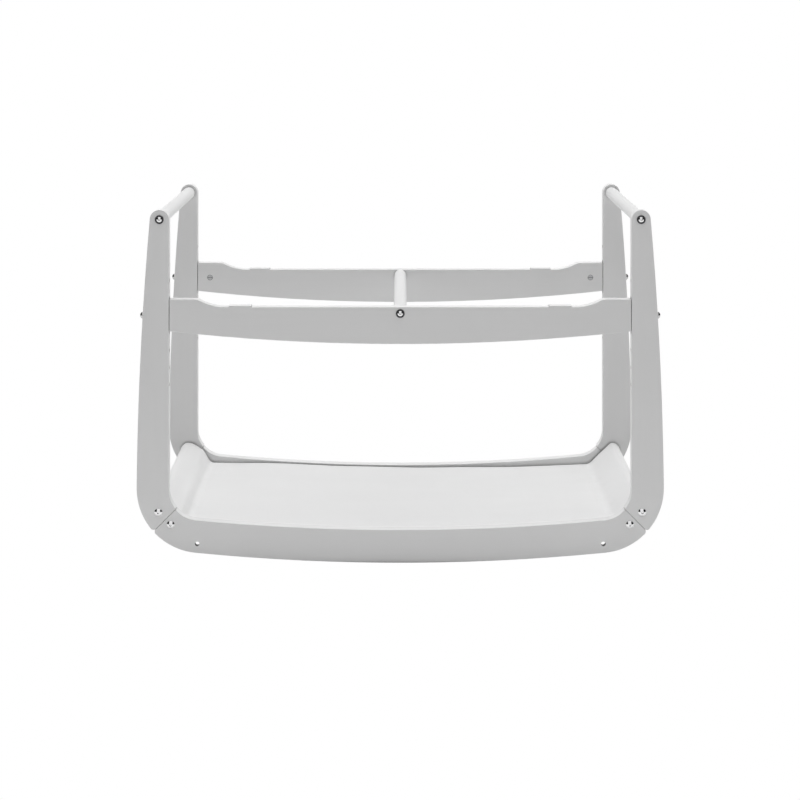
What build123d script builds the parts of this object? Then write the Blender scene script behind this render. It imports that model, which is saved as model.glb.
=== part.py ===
from build123d import *
import math
import os

# Bedside cradle stand: two long rocker frames joined by round crossbars and two slanted end boards,
# with a height-adjustable pair of cradle rails and a slung fabric storage shelf.
#
# Frame: millimetres, +X along the stand from left to right, +Y from the front frame to the back
# frame, +Z up. The origin is on the floor, midway between the two frames, level with the lowest
# point of the rocker arcs. Points given as pairs lie in the x, z plane.

os.makedirs("parts", exist_ok=True)

# ---------------------------------------------------------------- driving dimensions
BOARD_T = 21.0  # thickness of every flat frame board
DEPTH = 490.0  # outer face to outer face, front to back
INNER_X = 438.7  # half the clear width between the legs
HALF_L = 500.0  # half the overall length
EDGE_R = 1.0  # eased edges of the boards

LEG_TOP_R = 18.2  # full round at the top of a leg
LEG_TOP_Z = 650.7  # height of the top crossbar axis
LEG_SIDE_R = 6690.0  # bow of the outer edge of a leg
ROCKER_R = 4000.0  # radius of the rocking edge
RUNNER_H = 62.3  # depth of the runner at mid length
RUNNER_TOP_R = 4100.0  # radius of the runner's upper edge
OUT_CORNER_R = 123.5  # outer bend from runner to leg
IN_CORNER_R = 56.0  # inner bend from runner to leg
LEG_IN_R = 48.0  # the leg's own part of that bend
LEG_PROUD = 1.2  # how far the leg stands proud of the runner at the mitre

MITRE_C = 527.4  # the left mitre lies on z = x + MITRE_C
MITRE_HALF_GAP = 0.19
MITRE_OUT_R = 6.0  # rounded ends of the mitre on the outside
RUNNER_MITRE_IN_R = 3.0  # and on the inside of the runner
LEG_MITRE_IN_R = 1.5  # and on the inside of the leg

HOLE_PITCH = 33.0  # spacing of the height holes
HOLE_UP = 2  # spare holes above the one in use
HOLE_DOWN = 4  # spare holes below the one in use
HEIGHT_HOLE_D = 7.0
HEIGHT_SEAT_D = 15.2
BOLT_Z = 467.6  # height of the rail bolts as set
BOLT_SEAT_X = 488.2  # common seat of the rail bolts, drilled to one depth
CENTRE_BAR_Z = 472.6

CORNER_BOLT = (-458.6, 95.5)  # upper corner bolt at the left
CORNER_PITCH = 33.0  # from the upper to the lower corner bolt
BOARD_AT = (-459.3, 96.9)  # point on the middle plane of the left end board

BOLT_D = 6.0  # every machine bolt
BOLT_BORE = 6.6
CLEAR = 0.05  # radial play round pins, inserts, nuts and threads
CUT_PAST = 30.0  # length of a counterbore or cross hole that runs out of the board

FACE_OUT = DEPTH / 2  # outer face of the front and back frames
FACE_IN = FACE_OUT - BOARD_T
MID_Y = FACE_OUT - BOARD_T / 2
FRONT_IN = Plane.XZ.offset(FACE_IN)  # inner face of the front frame, normal towards the front
FROM_BASE = (Align.CENTER, Align.CENTER, Align.MIN)

# directions across and along the left mitre, in the x, z plane
ACROSS = (1 / math.sqrt(2), -1 / math.sqrt(2))  # from leg to runner
UP = (1 / math.sqrt(2), 1 / math.sqrt(2))  # along the joint line, towards the inside


# ---------------------------------------------------------------- plane geometry
def shift(point, across=0.0, up=0.0):
    """A point moved across and along the left mitre."""
    return (
        point[0] + across * ACROSS[0] + up * UP[0],
        point[1] + across * ACROSS[1] + up * UP[1],
    )


def flip(point):
    """The same point at the other end of the stand."""
    return (-point[0], point[1])


def on_circle(centre, radius, degrees):
    angle = math.radians(degrees)
    return (centre[0] + radius * math.cos(angle), centre[1] + radius * math.sin(angle))


def angle_of(centre, point):
    return math.degrees(math.atan2(point[1] - centre[1], point[0] - centre[0]))


def toward(start, end, fraction):
    """The point a fraction of the way from start to end; past end above 1."""
    return (
        start[0] + (end[0] - start[0]) * fraction,
        start[1] + (end[1] - start[1]) * fraction,
    )


def arc_between(centre, radius, first, last):
    """Draw an arc on a circle from one point to another by the shorter way round."""
    start, end = angle_of(centre, first), angle_of(centre, last)
    while end - start > 180:
        end -= 360
    while end - start < -180:
        end += 360
    return ThreePointArc(first, on_circle(centre, radius, (start + end) / 2), last)


def blend_point(big_centre, big_r, small_centre, small_r):
    """Where a small circle touches a big one from the inside."""
    return toward(big_centre, small_centre, big_r / (big_r - small_r))


def mitre_meets(centre, radius, offset):
    """Where the left mitre line, moved sideways by offset towards the leg, meets a corner circle
    on its lower left side."""
    line_c = MITRE_C + offset * math.sqrt(2)
    # put z = x + line_c into the circle: 2 x^2 + linear x + constant = 0
    above = line_c - centre[1]
    linear = 2 * (above - centre[0])
    constant = centre[0] ** 2 + above**2 - radius**2
    x = (-linear - math.sqrt(linear**2 - 8 * constant)) / 4
    return (x, x + line_c)


# ---------------------------------------------------------------- places, boring and finished parts
def facing_x(x, y, z, sense):
    """Plane at a place, its normal along +X or -X."""
    return Plane(origin=(x, y, z), z_dir=(sense, 0, 0))


def facing_y(point, y, sense):
    """Plane at an x, z point and a depth, its normal along +Y or -Y."""
    return Plane(origin=(point[0], y, point[1]), z_dir=(0, sense, 0))


def front_seats(*points):
    """Planes on the outer face of the front frame, normals outwards."""
    return [facing_y(point, -FACE_OUT, -1) for point in points]


def outer_seats(*points):
    """Planes on the outer faces of both frames, normals outwards."""
    return [facing_y(point, face * FACE_OUT, face) for point in points for face in (-1, 1)]


def inner_ends(*points):
    """Planes at both ends of a bar or board between the frames, normals into it."""
    return [facing_y(point, face * FACE_IN, -face) for point in points for face in (-1, 1)]


def bore(places, radius, depth):
    """Cut a round hole in the current part from each plane along its normal."""
    with Locations(*places):
        Cylinder(radius=radius, height=depth, align=FROM_BASE, mode=Mode.SUBTRACT)


finished = []


def finish(part, name):
    part.label = name
    finished.append(part)
    return part


def mirrored(part, plane, name):
    with BuildPart() as twin:
        mirror(part, about=plane)
    return finish(twin.part, name)


def placed(blank, places, name):
    """One finished part made of a copy of the blank at every place."""
    with BuildPart() as group:
        with Locations(*places):
            add(blank)
    return finish(group.part, name)


# ---------------------------------------------------------------- left half of a side frame
top_centre = (-(INNER_X + LEG_TOP_R), LEG_TOP_Z)
rocker_centre = (0.0, ROCKER_R)
runner_top_centre = (0.0, RUNNER_H + RUNNER_TOP_R)
outer_x = -(HALF_L - OUT_CORNER_R)
outer_centre = (outer_x, ROCKER_R - math.sqrt((ROCKER_R - OUT_CORNER_R) ** 2 - outer_x**2))
inner_x = -(INNER_X - IN_CORNER_R)
inner_centre = (
    inner_x,
    runner_top_centre[1] - math.sqrt((RUNNER_TOP_R - IN_CORNER_R) ** 2 - inner_x**2),
)

# outer edge of the leg: one long arc, tangent to the round top and to the outer corner
reach_top, reach_low = LEG_SIDE_R - LEG_TOP_R, LEG_SIDE_R - OUT_CORNER_R
span_x, span_z = outer_centre[0] - top_centre[0], outer_centre[1] - top_centre[1]
span = math.hypot(span_x, span_z)
foot = (reach_top**2 - reach_low**2 + span**2) / (2 * span)
rise = math.sqrt(reach_top**2 - foot**2)
side_centre = (
    top_centre[0] + foot * span_x / span - rise * span_z / span,
    top_centre[1] + foot * span_z / span + rise * span_x / span,
)

top_right = (-INNER_X, LEG_TOP_Z)
top_left = blend_point(side_centre, LEG_SIDE_R, top_centre, LEG_TOP_R)
corner_up = blend_point(side_centre, LEG_SIDE_R, outer_centre, OUT_CORNER_R)
outer_blend = blend_point(rocker_centre, ROCKER_R, outer_centre, OUT_CORNER_R)
inner_blend = blend_point(runner_top_centre, RUNNER_TOP_R, inner_centre, IN_CORNER_R)

low_corner_bolt = shift(CORNER_BOLT, across=CORNER_PITCH)
# foot of the upper corner bolt on the mitre line
mitre_mid = (
    (CORNER_BOLT[0] + CORNER_BOLT[1] - MITRE_C) / 2,
    (CORNER_BOLT[0] + CORNER_BOLT[1] + MITRE_C) / 2,
)

# ---------------------------------------------------------------- mitre pins
PIN_D = 8.0
PIN_L = 30.0
PIN_OFF = 14.0  # from the middle of a mitre to each of its two pins
PIN_CHAMFER = 1.0
PIN_BORE_R = PIN_D / 2 + CLEAR
PIN_BORE_DEPTH = PIN_L / 2 + 1


def pin_places(ends, depths, sense=1):
    """Planes on the mitres at the pins. An end is 1 at the left and -1 at the right; a sense of 1
    points the normals into the runner, -1 into the leg."""
    return [
        Plane(origin=(end * x, y, z), z_dir=(sense * end * ACROSS[0], 0, sense * ACROSS[1]))
        for x, z in (shift(mitre_mid, up=-PIN_OFF), shift(mitre_mid, up=PIN_OFF))
        for end in ends
        for y in depths
    ]


with BuildPart() as pin_blank:
    Cylinder(radius=PIN_D / 2, height=PIN_L)
    chamfer(pin_blank.edges().filter_by(GeomType.CIRCLE), length=PIN_CHAMFER)

placed(pin_blank.part, pin_places((1, -1), (-MID_Y, MID_Y)), "mitre_pins")

# ---------------------------------------------------------------- legs
HEIGHT_HOLE_DEPTH = 80.0  # more than the width of a leg
HEIGHT_SEAT_MIN = 1.0  # a hole gets a seat unless the leg's edge lies this far inside the seat

height_holes = [BOLT_Z + HOLE_PITCH * k for k in range(-HOLE_DOWN, HOLE_UP + 1)]


def leg_edge_x(z):
    """x of the left leg's outer edge at a height."""
    return side_centre[0] - math.sqrt(LEG_SIDE_R**2 - (z - side_centre[1]) ** 2)


# the leg's inner bend ends on the mitre a little above the runner's
proud = shift(mitre_meets(inner_centre, IN_CORNER_R, MITRE_HALF_GAP), up=LEG_PROUD)
leg_in_x = -(INNER_X - LEG_IN_R)
leg_in_centre = (leg_in_x, proud[1] + math.sqrt(LEG_IN_R**2 - (proud[0] - leg_in_x) ** 2))
leg_in_up = (-INNER_X, leg_in_centre[1])
leg_mitre_in = mitre_meets(leg_in_centre, LEG_IN_R, MITRE_HALF_GAP)
leg_mitre_out = mitre_meets(outer_centre, OUT_CORNER_R, MITRE_HALF_GAP)

with BuildPart() as leg:
    with BuildSketch(FRONT_IN) as leg_profile:
        with BuildLine():
            Line(top_right, leg_in_up)
            arc_between(leg_in_centre, LEG_IN_R, leg_in_up, leg_mitre_in)
            Line(leg_mitre_in, leg_mitre_out)
            arc_between(outer_centre, OUT_CORNER_R, leg_mitre_out, corner_up)
            arc_between(side_centre, LEG_SIDE_R, corner_up, top_left)
            # round top, by way of a point near its crown
            ThreePointArc(top_left, on_circle(top_centre, LEG_TOP_R, 88), top_right)
        make_face()
        fillet(leg_profile.vertices().sort_by_distance(leg_mitre_out)[0], radius=MITRE_OUT_R)
        fillet(leg_profile.vertices().sort_by_distance(leg_mitre_in)[0], radius=LEG_MITRE_IN_R)
    extrude(amount=BOARD_T)
    fillet(leg.faces().filter_by(Axis.Y).edges(), radius=EDGE_R)
    # crossbar bolt and upper corner bolt
    with Locations(*front_seats(top_centre, CORNER_BOLT)):
        Hole(radius=BOLT_BORE / 2, depth=BOARD_T)
    # the row of height holes, drilled from edge to edge, with their seats bored to one depth
    with Locations(*[facing_x(-INNER_X, -MID_Y, z, 1) for z in height_holes]):
        Hole(radius=HEIGHT_HOLE_D / 2, depth=HEIGHT_HOLE_DEPTH)
    bore(
        [
            facing_x(-BOLT_SEAT_X, -MID_Y, z, -1)
            for z in height_holes
            if -leg_edge_x(z) > BOLT_SEAT_X - HEIGHT_SEAT_MIN
        ],
        HEIGHT_SEAT_D / 2,
        CUT_PAST,
    )
    # blind holes for the pins, square to the mitre
    bore(pin_places((1,), (-MID_Y,), sense=-1), PIN_BORE_R, PIN_BORE_DEPTH)

front_left_leg = finish(leg.part, "front_left_leg")
mirrored(front_left_leg, Plane.YZ, "front_right_leg")
back_left_leg = mirrored(front_left_leg, Plane.XZ, "back_left_leg")
mirrored(back_left_leg, Plane.YZ, "back_right_leg")

# ---------------------------------------------------------------- rocker runners
FOOT_HOLE = (-385.0, 36.1)  # hole for a levelling foot or height block at the left
FOOT_HOLE_D = 8.6
FOOT_SEAT_D = 17.0  # counterbore on the inner face, for the nut of a foot
FOOT_WEB = 10.0  # board left under that counterbore
FOOT_SEAT_CUT = 20.0

run_mitre_in = mitre_meets(inner_centre, IN_CORNER_R, -MITRE_HALF_GAP)
run_mitre_out = mitre_meets(outer_centre, OUT_CORNER_R, -MITRE_HALF_GAP)
foot_holes = (flip(FOOT_HOLE), FOOT_HOLE)

with BuildPart() as runner:
    with BuildSketch(FRONT_IN) as runner_profile:
        with BuildLine():
            arc_between(inner_centre, IN_CORNER_R, run_mitre_in, inner_blend)
            arc_between(runner_top_centre, RUNNER_TOP_R, inner_blend, flip(inner_blend))
            arc_between(flip(inner_centre), IN_CORNER_R, flip(inner_blend), flip(run_mitre_in))
            Line(flip(run_mitre_in), flip(run_mitre_out))
            arc_between(flip(outer_centre), OUT_CORNER_R, flip(run_mitre_out), flip(outer_blend))
            arc_between(rocker_centre, ROCKER_R, flip(outer_blend), outer_blend)
            arc_between(outer_centre, OUT_CORNER_R, outer_blend, run_mitre_out)
            Line(run_mitre_out, run_mitre_in)
        make_face()
        for mitre_end, end_radius in (
            (run_mitre_out, MITRE_OUT_R),
            (run_mitre_in, RUNNER_MITRE_IN_R),
        ):
            fillet(
                [
                    runner_profile.vertices().sort_by_distance(point)[0]
                    for point in (mitre_end, flip(mitre_end))
                ],
                radius=end_radius,
            )
    extrude(amount=BOARD_T)
    fillet(runner.faces().filter_by(Axis.Y).edges(), radius=EDGE_R)
    with Locations(*front_seats(flip(low_corner_bolt), low_corner_bolt)):
        Hole(radius=BOLT_BORE / 2, depth=BOARD_T)
    with Locations(*front_seats(*foot_holes)):
        Hole(radius=FOOT_HOLE_D / 2, depth=BOARD_T)
    bore(
        [facing_y(point, -FACE_OUT + FOOT_WEB, 1) for point in foot_holes],
        FOOT_SEAT_D / 2,
        FOOT_SEAT_CUT,
    )
    bore(pin_places((1, -1), (-MID_Y,)), PIN_BORE_R, PIN_BORE_DEPTH)

front_runner = finish(runner.part, "front_runner")
mirrored(front_runner, Plane.XZ, "back_runner")

# ---------------------------------------------------------------- cradle rails
RAIL_GAP = 0.9  # side clearance between a rail end and a leg
RAIL_TOP = 484.7  # top of the rail between its shoulders
RAIL_SHOULDER = 499.2  # top of the rail at its ends
RAIL_BOTTOM = 414.6  # underside of the rail at mid length
RAIL_UNDER_R = ROCKER_R  # the underside runs parallel in curvature to the rocking edge
DIP_X = -331.2  # where the level top starts to rise to the left shoulder
DIP_R = 105.0  # hollow of the step up to a shoulder
CROWN_R = 20.0  # crown of that step
RAIL_PAD_H = 2.5  # height of the cradle rests above the rail
RAIL_PAD_X = 304.1  # centre of a cradle rest
RAIL_PAD_L = 42.6  # length of a cradle rest
RAIL_PAD_ROOT = 4.0  # depth of a rest sunk into the rail
RAIL_PAD_EDGE_R = 0.7
RAIL_BORE_IN = 42.0  # from the leg's inner edge to the blind end of the bolt hole
RAIL_BORE_L = 50.0
NUT_IN = 27.3  # from the leg's inner edge to a barrel nut
NUT_D = 12.0
NUT_L = 17.5
NUT_SUNK = 1.2  # from the rail's inner face to the slotted end of the nut
NUT_WEB = 2.0  # board left behind the nut's cross hole
NUT_CHAMFER = 0.5  # for every barrel nut
NUT_CROSS_BORE_L = 20.0

rail_half = INNER_X - RAIL_GAP
dip_centre = (DIP_X, RAIL_TOP + DIP_R)
crown_z = RAIL_SHOULDER - CROWN_R
crown_centre = (
    DIP_X - math.sqrt((DIP_R + CROWN_R) ** 2 - (dip_centre[1] - crown_z) ** 2),
    crown_z,
)
step_mid = toward(dip_centre, crown_centre, DIP_R / (DIP_R + CROWN_R))
under_centre = (0.0, RAIL_BOTTOM + RAIL_UNDER_R)
rail_low = (-rail_half, under_centre[1] - math.sqrt(RAIL_UNDER_R**2 - rail_half**2))
rail_high = (-rail_half, RAIL_SHOULDER)
crown_top = (crown_centre[0], RAIL_SHOULDER)
dip_end = (DIP_X, RAIL_TOP)
pad_top = RAIL_TOP + RAIL_PAD_H

with BuildPart() as rail:
    with BuildSketch(FRONT_IN):
        with BuildLine():
            Line(rail_low, rail_high)
            Line(rail_high, crown_top)
            arc_between(crown_centre, CROWN_R, crown_top, step_mid)
            arc_between(dip_centre, DIP_R, step_mid, dip_end)
            Line(dip_end, flip(dip_end))
            arc_between(flip(dip_centre), DIP_R, flip(dip_end), flip(step_mid))
            arc_between(flip(crown_centre), CROWN_R, flip(step_mid), flip(crown_top))
            Line(flip(crown_top), flip(rail_high))
            Line(flip(rail_high), flip(rail_low))
            arc_between(under_centre, RAIL_UNDER_R, flip(rail_low), rail_low)
        make_face()
    extrude(amount=BOARD_T)
    fillet(rail.faces().filter_by(Axis.Y).edges(), radius=EDGE_R)
    # raised rests that carry the cradle basket
    with BuildSketch(FRONT_IN):
        with Locations(
            *[(end * RAIL_PAD_X, pad_top - (RAIL_PAD_H + RAIL_PAD_ROOT) / 2) for end in (-1, 1)]
        ):
            Rectangle(RAIL_PAD_L, RAIL_PAD_H + RAIL_PAD_ROOT)
    extrude(amount=BOARD_T)
    fillet(
        rail.edges().filter_by(Axis.X).filter_by_position(Axis.Z, pad_top - 0.01, pad_top + 0.01),
        radius=RAIL_PAD_EDGE_R,
    )
    # centre bar bolt
    with Locations(*front_seats((0, CENTRE_BAR_Z))):
        Hole(radius=BOLT_BORE / 2, depth=BOARD_T)
    # end-grain bolt holes and the cross holes for the barrel nuts, open on the inner face
    bore(
        [facing_x(end * (INNER_X - RAIL_BORE_IN), -MID_Y, BOLT_Z, end) for end in (-1, 1)],
        HEIGHT_HOLE_D / 2,
        RAIL_BORE_L,
    )
    bore(
        [facing_y((end * (INNER_X - NUT_IN), BOLT_Z), -FACE_IN, -1) for end in (-1, 1)],
        NUT_D / 2 + CLEAR,
        BOARD_T - NUT_WEB,
    )

front_rail = finish(rail.part, "front_rail")
mirrored(front_rail, Plane.XZ, "back_rail")

# barrel nut for a rail end: its axis along z, its slotted end at z 0, cross-bored along x
NUT_SLOT_L, NUT_SLOT_W, NUT_SLOT_DEPTH = 13.0, 1.6, 1.5

with BuildPart() as rail_nut:
    Cylinder(radius=NUT_D / 2, height=NUT_L, align=(Align.CENTER, Align.CENTER, Align.MAX))
    chamfer(rail_nut.edges().filter_by(GeomType.CIRCLE), length=NUT_CHAMFER)
    with Locations(facing_x(0, 0, -(BOARD_T / 2 - NUT_SUNK), 1)):
        Cylinder(radius=BOLT_D / 2 + CLEAR, height=NUT_CROSS_BORE_L, mode=Mode.SUBTRACT)
    with BuildSketch(Plane.XY):
        Rectangle(NUT_SLOT_L, NUT_SLOT_W)
    extrude(amount=-NUT_SLOT_DEPTH, mode=Mode.SUBTRACT)

rail_nut_places = [
    Plane(
        origin=(end * (INNER_X - NUT_IN), face * (FACE_IN + NUT_SUNK), BOLT_Z),
        x_dir=(1, 0, 0),
        z_dir=(0, -face, 0),
    )
    for end in (-1, 1)
    for face in (-1, 1)
]
placed(rail_nut.part, rail_nut_places, "rail_nuts")

# ---------------------------------------------------------------- round crossbars
BAR_D = 25.0
BAR_CHAMFER = 0.6
BAR_BORE_PAST = 8.0  # how far the bolt hole runs on past the insert
INSERT_D = 10.0
INSERT_L = 20.0
INSERT_BORE_SPARE = 0.5

with BuildPart() as bar_blank:
    with BuildSketch(FRONT_IN):
        Circle(BAR_D / 2)
    extrude(amount=-2 * FACE_IN)
    chamfer(bar_blank.edges().filter_by(GeomType.CIRCLE), length=BAR_CHAMFER)
    bore(inner_ends((0, 0)), INSERT_D / 2 + CLEAR, INSERT_L + INSERT_BORE_SPARE)
    bore(inner_ends((0, 0)), BOLT_BORE / 2, INSERT_L + BAR_BORE_PAST)

top_bars = (top_centre, flip(top_centre))
centre_bar = (0, CENTRE_BAR_Z)
for bar_name, (x, z) in (
    ("left_crossbar", top_centre),
    ("right_crossbar", flip(top_centre)),
    ("centre_bar", centre_bar),
):
    placed(bar_blank.part, [(x, 0, z)], bar_name)

# threaded insert: a sleeve with outside ribs, just inside its mouth at z 0, its body towards +z
INSERT_SUNK = 0.3
INSERT_LEAD = 0.3  # the mouth is this much smaller in radius than the ribs
RIB_COUNT = 9
RIB_PITCH = 2.0
RIB_DEPTH = 0.6
RIB_START = 1.4  # crest of the first rib
RIB_FALL = 1.0  # from the crest of a rib to its root

insert_r = INSERT_D / 2
insert_bore_r = BOLT_D / 2 + CLEAR
insert_outline = [(insert_bore_r, INSERT_SUNK), (insert_r - INSERT_LEAD, INSERT_SUNK)]
for k in range(RIB_COUNT):
    crest_z = RIB_START + RIB_PITCH * k
    insert_outline += [(insert_r, crest_z), (insert_r - RIB_DEPTH, crest_z + RIB_FALL)]
insert_outline += [(insert_r - RIB_DEPTH, INSERT_L), (insert_bore_r, INSERT_L)]

with BuildPart() as insert_blank:
    with BuildSketch(Plane.XZ):
        with BuildLine():
            Polyline(*insert_outline, close=True)
        make_face()
    revolve(axis=Axis.Z)

placed(insert_blank.part, inner_ends(*top_bars), "crossbar_inserts")
placed(insert_blank.part, inner_ends(centre_bar), "centre_bar_inserts")

# ---------------------------------------------------------------- bolts and washers
SHANK_R = BOLT_D / 2
TIP_R = 2.2
HEAD_RIM = 0.6  # upright rim below the dome of a bolt head
DOME_STEPS = 7


def dome_points(head_d, head_h, seat):
    """Half outline of a domed head standing on height seat, from its rim up to the axis."""
    radius = head_d / 2
    dome_h = head_h - HEAD_RIM
    ball = (radius * radius + dome_h**2) / (2 * dome_h)
    rim_angle = math.asin(radius / ball)
    angles = [rim_angle * (1 - k / DOME_STEPS) for k in range(DOME_STEPS + 1)]
    return [(ball * math.sin(a), head_h - ball * (1 - math.cos(a)) + seat) for a in angles]


def domed_bolt(stem, head_d, head_h, seat, socket_r, socket_depth):
    """Bolt with its shank towards -z. The stem is its half outline from the axis at the tip to
    the underside of the head; socket_r is half the hexagon socket's width across flats."""
    dome = dome_points(head_d, head_h, seat)
    with BuildPart() as bolt:
        with BuildSketch(Plane.XZ):
            with BuildLine():
                Polyline(*stem, dome[0])
                Spline(*dome)
                Line(dome[-1], stem[0])
            make_face()
        revolve(axis=Axis.Z)
        with BuildSketch(Plane.XY.offset(head_h + seat)):
            RegularPolygon(radius=socket_r, side_count=6, major_radius=False)
        extrude(amount=-socket_depth, mode=Mode.SUBTRACT)
    return bolt.part


def plain_shank(tip):
    """Start of a stem: a shank tip with a bevel 1 mm long."""
    return [(0, tip), (TIP_R, tip), (SHANK_R, tip + 1)]


# crossbar bolt: button head seated in a dished washer
BUTTON_D = 11.0
BUTTON_H = 3.0
BUTTON_SEAT = 0.8  # underside of the head above the board
CROSSBAR_BOLT_IN = 17.0  # reach into the crossbar

crossbar_bolt = domed_bolt(
    stem=[*plain_shank(-BOARD_T - CROSSBAR_BOLT_IN), (SHANK_R, BUTTON_SEAT)],
    head_d=BUTTON_D,
    head_h=BUTTON_H,
    seat=BUTTON_SEAT,
    socket_r=2.0,
    socket_depth=2.2,
)

CUP_R = 8.3
CUP_H = 2.2
CUP_BORE_R = 3.2
CUP_FLOOR = 0.75
# half outline of the dished washer: radius, height above the board
CUP_OUTLINE = [
    (CUP_BORE_R, 0),
    (CUP_R - 0.3, 0),
    (CUP_R, 0.4),
    (CUP_R - 0.5, 1.5),
    (CUP_R - 1.1, CUP_H - 0.1),
    (CUP_R - 1.7, CUP_H),
    (BUTTON_D / 2 + 0.35, 1.0),
    (BUTTON_D / 2 + 0.15, CUP_FLOOR),
    (CUP_BORE_R, CUP_FLOOR),
]

with BuildPart() as cup_washer:
    with BuildSketch(Plane.XZ):
        with BuildLine():
            Polyline(*CUP_OUTLINE, close=True)
        make_face()
    revolve(axis=Axis.Z)

# corner bolt: wide domed head straight on the board
CORNER_HEAD_D = 15.2
CORNER_BOLT_IN = 36.0  # reach into the end board

corner_bolt = domed_bolt(
    stem=[*plain_shank(-BOARD_T - CORNER_BOLT_IN), (SHANK_R, 0), (CORNER_HEAD_D / 2, 0)],
    head_d=CORNER_HEAD_D,
    head_h=4.0,
    seat=0,
    socket_r=2.0,
    socket_depth=2.6,
)

# rail bolt: long, with a tall domed head on a flat washer and a ringed thread at its tip
RAIL_HEAD_D = 13.4
WASHER_D = 14.6
WASHER_T = 1.4
WASHER_PLAY = 0.2  # radial play of the washer on the bolt
WASHER_EDGE_R = 0.3
RAIL_BOLT_IN = 40.0  # reach past the leg's inner edge
THREAD_TURNS = 40  # at a pitch of 1 mm
THREAD_ROOT_R = 2.55

rail_tip = -(BOLT_SEAT_X - (INNER_X - RAIL_BOLT_IN))
rail_stem = [(0, rail_tip), (TIP_R, rail_tip), (2.5, rail_tip + 0.6)]
for k in range(THREAD_TURNS):
    rail_stem += [(SHANK_R, rail_tip + 1.1 + k), (THREAD_ROOT_R, rail_tip + 1.6 + k)]
rail_stem += [
    (SHANK_R, rail_tip + 2.1 + THREAD_TURNS),
    (SHANK_R, WASHER_T),
    (RAIL_HEAD_D / 2, WASHER_T),
]
rail_bolt = domed_bolt(
    stem=rail_stem,
    head_d=RAIL_HEAD_D,
    head_h=5.0,
    seat=WASHER_T,
    socket_r=2.5,
    socket_depth=3.0,
)

with BuildPart() as flat_washer:
    with BuildSketch(Plane.XY):
        Circle(WASHER_D / 2)
        Circle(BOLT_D / 2 + WASHER_PLAY, mode=Mode.SUBTRACT)
    extrude(amount=WASHER_T)
    fillet(
        flat_washer.edges().filter_by(GeomType.CIRCLE).group_by(SortBy.RADIUS)[-1],
        radius=WASHER_EDGE_R,
    )

placed(crossbar_bolt, outer_seats(*top_bars), "crossbar_bolts")
placed(cup_washer.part, outer_seats(*top_bars), "crossbar_washers")
placed(crossbar_bolt, outer_seats(centre_bar), "centre_bar_bolts")
placed(cup_washer.part, outer_seats(centre_bar), "centre_bar_washers")
placed(corner_bolt, outer_seats(CORNER_BOLT, flip(CORNER_BOLT)), "leg_corner_bolts")
placed(corner_bolt, outer_seats(low_corner_bolt, flip(low_corner_bolt)), "runner_corner_bolts")

for face_name, face in (("front", -1), ("back", 1)):
    for end_name, end in (("left", -1), ("right", 1)):
        rail_seat = facing_x(end * BOLT_SEAT_X, face * MID_Y, BOLT_Z, end)
        placed(rail_bolt, [rail_seat], f"{face_name}_{end_name}_rail_bolt")
        placed(flat_washer.part, [rail_seat], f"{face_name}_{end_name}_rail_washer")

# ---------------------------------------------------------------- slanted end boards of the shelf
END_BOARD_UP = 11.0  # from BOARD_AT to the board's upper edge
END_BOARD_W = 68.0
END_BOARD_T = 22.0
END_BOARD_R = 9.0  # rounded long edges
END_BORE_DEPTH = 38.0
CORNER_NUT_D = 10.0
CORNER_NUT_L = 15.0
CORNER_NUT_IN = 26.0  # from the board's end to a barrel nut
CORNER_NUT_SPARE = 0.3  # cross hole beyond the blind end of the nut
CORNER_SLOT_L, CORNER_SLOT_W, CORNER_SLOT_DEPTH = 11.0, 1.4, 1.3

board_mid = shift(BOARD_AT, across=END_BOARD_W / 2 - END_BOARD_UP)
corner_bolts = (CORNER_BOLT, low_corner_bolt)
corner_nut_y = FACE_IN - CORNER_NUT_IN

with BuildPart() as end_board:
    with BuildSketch(
        Plane(
            origin=(board_mid[0], FACE_IN, board_mid[1]),
            x_dir=(ACROSS[0], 0, ACROSS[1]),
            z_dir=(0, -1, 0),
        )
    ):
        RectangleRounded(END_BOARD_W, END_BOARD_T, END_BOARD_R)
    extrude(amount=2 * FACE_IN)
    # bolt holes in the end grain
    bore(inner_ends(*corner_bolts), BOLT_BORE / 2, END_BORE_DEPTH)
    # cross holes for the barrel nuts, open on the underside
    bore(
        [
            Plane(origin=(x, face * corner_nut_y, z), z_dir=(-UP[0], 0, -UP[1]))
            for x, z in [
                shift(point, up=CORNER_NUT_L / 2 + CORNER_NUT_SPARE) for point in corner_bolts
            ]
            for face in (-1, 1)
        ],
        CORNER_NUT_D / 2 + CLEAR,
        CUT_PAST,
    )

left_end_board = finish(end_board.part, "left_end_board")
mirrored(left_end_board, Plane.YZ, "right_end_board")

# barrel nut for an end board: centred, its axis along z, slotted below, cross-bored along y
with BuildPart() as corner_nut:
    Cylinder(radius=CORNER_NUT_D / 2, height=CORNER_NUT_L)
    chamfer(corner_nut.edges().filter_by(GeomType.CIRCLE), length=NUT_CHAMFER)
    with Locations(facing_y((0, 0), 0, 1)):
        Cylinder(radius=BOLT_D / 2 + CLEAR, height=NUT_CROSS_BORE_L, mode=Mode.SUBTRACT)
    with BuildSketch(Plane.XY.offset(-CORNER_NUT_L / 2)):
        Rectangle(CORNER_SLOT_L, CORNER_SLOT_W)
    extrude(amount=CORNER_SLOT_DEPTH, mode=Mode.SUBTRACT)

corner_nut_places = [
    Plane(
        origin=(end * x, face * corner_nut_y, z),
        x_dir=(end * ACROSS[0], 0, ACROSS[1]),
        z_dir=(end * UP[0], 0, UP[1]),
    )
    for x, z in corner_bolts
    for face in (-1, 1)
    for end in (1, -1)
]
placed(corner_nut.part, corner_nut_places, "corner_nuts")

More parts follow.
